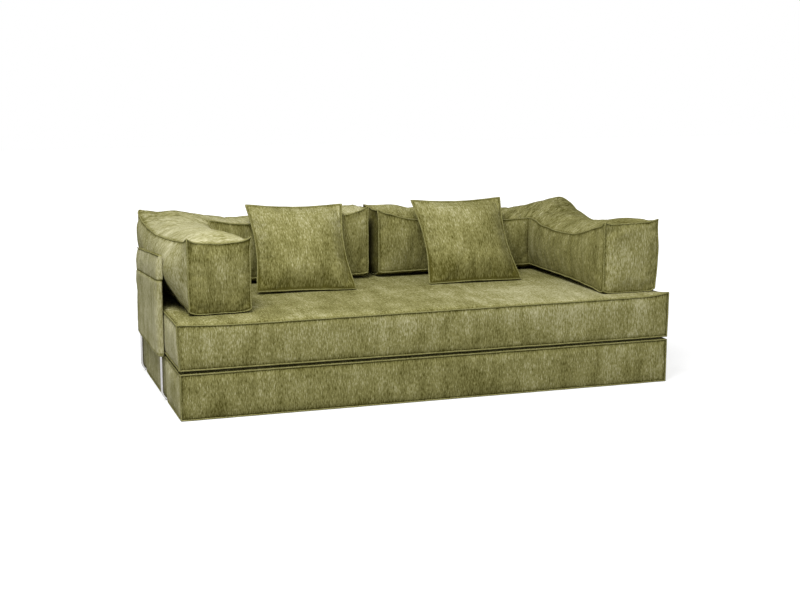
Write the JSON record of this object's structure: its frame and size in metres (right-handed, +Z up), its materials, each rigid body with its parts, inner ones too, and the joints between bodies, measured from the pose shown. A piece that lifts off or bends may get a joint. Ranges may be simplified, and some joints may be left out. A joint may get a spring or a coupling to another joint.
{
  "type": "floor sofa",
  "caption": "Low majlis floor sofa: two stacked foam slabs, L-shaped arm and back bolsters hung by fabric sleeves over bent tube brackets, and loose square pillows.",
  "frame": {"origin": "the middle of the base slab's underside, on the floor", "axes": "+Z up, +X along the seat to the right as seen from the front, -Y towards the front edge of the seat"},
  "size_m": [1.9608, 0.9964, 0.6763],
  "materials": {
    "chenille": "olive green chenille with fine upright streaks",
    "seam_welt": "the same chenille, folded and sewn into a narrow welt",
    "underside_cloth": "plain woven underside, assumed",
    "foam": "pale cut foam, hidden under the covers",
    "filling": "white fibre filling, hidden under the panels",
    "bracket_steel": "satin chromed steel tube",
    "plug_plastic": "black plastic end plug"
  },
  "bodies": {
    "base": {"base_foam": "foam", "base_top_panel": "chenille", "base_bottom_panel": "underside_cloth", "base_front_panel": "chenille", "base_rear_panel": "chenille", "base_left_panel": "chenille", "base_right_panel": "chenille", "base_bottom_welt": "seam_welt", "base_top_welt": "seam_welt", "left_arm_bracket": "bracket_steel", "left_back_bracket": "bracket_steel", "right_arm_bracket": "bracket_steel", "right_back_bracket": "bracket_steel", "left_arm_bracket_feet": "bracket_steel", "left_back_bracket_feet": "bracket_steel", "right_arm_bracket_feet": "bracket_steel", "right_back_bracket_feet": "bracket_steel", "left_arm_bracket_plugs": "plug_plastic", "left_back_bracket_plugs": "plug_plastic", "right_arm_bracket_plugs": "plug_plastic", "right_back_bracket_plugs": "plug_plastic"},
    "seat": {"seat_foam": "foam", "seat_top_panel": "chenille", "seat_bottom_panel": "chenille", "seat_front_panel": "chenille", "seat_rear_panel": "chenille", "seat_left_panel": "chenille", "seat_right_panel": "chenille", "seat_bottom_welt": "seam_welt", "seat_top_welt": "seam_welt"},
    "left_bolster": {"left_bolster_cover": "chenille", "left_bolster_arm_core": "foam", "left_bolster_back_core": "foam", "left_arm_sleeve": "chenille", "left_arm_sleeve_lining": "chenille", "left_arm_sleeve_binding": "chenille", "left_arm_sleeve_flap": "chenille", "left_back_sleeve": "chenille", "left_back_sleeve_lining": "chenille", "left_back_sleeve_binding": "chenille", "left_back_sleeve_flap": "chenille"},
    "right_bolster": {"right_bolster_cover": "chenille", "right_bolster_arm_core": "foam", "right_bolster_back_core": "foam", "right_arm_sleeve": "chenille", "right_arm_sleeve_lining": "chenille", "right_arm_sleeve_binding": "chenille", "right_arm_sleeve_flap": "chenille", "right_back_sleeve": "chenille", "right_back_sleeve_lining": "chenille", "right_back_sleeve_binding": "chenille", "right_back_sleeve_flap": "chenille"},
    "left_pillow": {"left_pillow_front_panel": "chenille", "left_pillow_back_panel": "chenille", "left_pillow_filling": "filling"},
    "right_pillow": {"right_pillow_front_panel": "chenille", "right_pillow_back_panel": "chenille", "right_pillow_filling": "filling"}
  },
  "joints": [
    {"name": "seat_lift", "type": "slide", "parent": "base", "child": "seat", "axis": [0, 0, 1], "range_m": [0, 0.3]},
    {"name": "left_bolster_lift", "type": "slide", "parent": "seat", "child": "left_bolster", "axis": [0, 0, 1], "range_m": [0, 0.3]},
    {"name": "right_bolster_lift", "type": "slide", "parent": "seat", "child": "right_bolster", "axis": [0, 0, 1], "range_m": [0, 0.3]},
    {"name": "left_pillow_lift", "type": "slide", "parent": "seat", "child": "left_pillow", "axis": [0, 0, 1], "range_m": [0, 0.3]},
    {"name": "right_pillow_lift", "type": "slide", "parent": "seat", "child": "right_pillow", "axis": [0, 0, 1], "range_m": [0, 0.3]}
  ]
}
